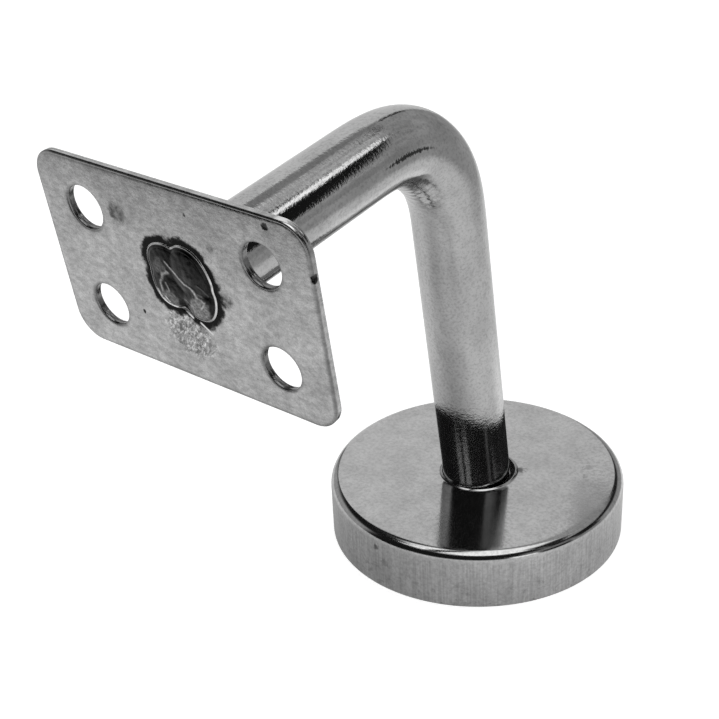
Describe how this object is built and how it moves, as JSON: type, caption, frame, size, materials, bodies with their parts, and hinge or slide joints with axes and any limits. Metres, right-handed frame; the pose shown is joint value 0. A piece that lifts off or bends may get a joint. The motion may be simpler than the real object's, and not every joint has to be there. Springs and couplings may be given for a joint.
{
  "type": "handrail bracket",
  "caption": "Bent round bar with a screw-on wall flange under a pressed cover, and a punched saddle plate that carries a handrail.",
  "frame": {"origin": "middle of the wall face of the flange, where the axis of the leg meets the wall", "axes": "+Z out of the wall, saddle towards -Y, X along the wall and along the saddle's long side"},
  "size_m": [0.07, 0.1246, 0.1175],
  "materials": {
    "drawn_bar": "drawn round bar, lightly polished",
    "mill_sheet": "mottled mill finish with punched edges",
    "weld_metal": "glossy weld metal with a heat tint",
    "turned_plate": "turned disc",
    "pressed_sheet": "pressed sheet, polished, with a fine brushing on its side"
  },
  "bodies": {
    "bracket": {"bent_bar": "drawn_bar", "saddle_plate": "mill_sheet", "saddle_weld": "weld_metal", "wall_flange": "turned_plate", "wall_weld": "weld_metal"},
    "cover": {"cover_rose": "pressed_sheet"}
  },
  "joints": [
    {"name": "cover_slide", "type": "slide", "parent": "bracket", "child": "cover", "axis": [0, -0.1392, 0.9903], "range_m": [0, 0.065]}
  ]
}
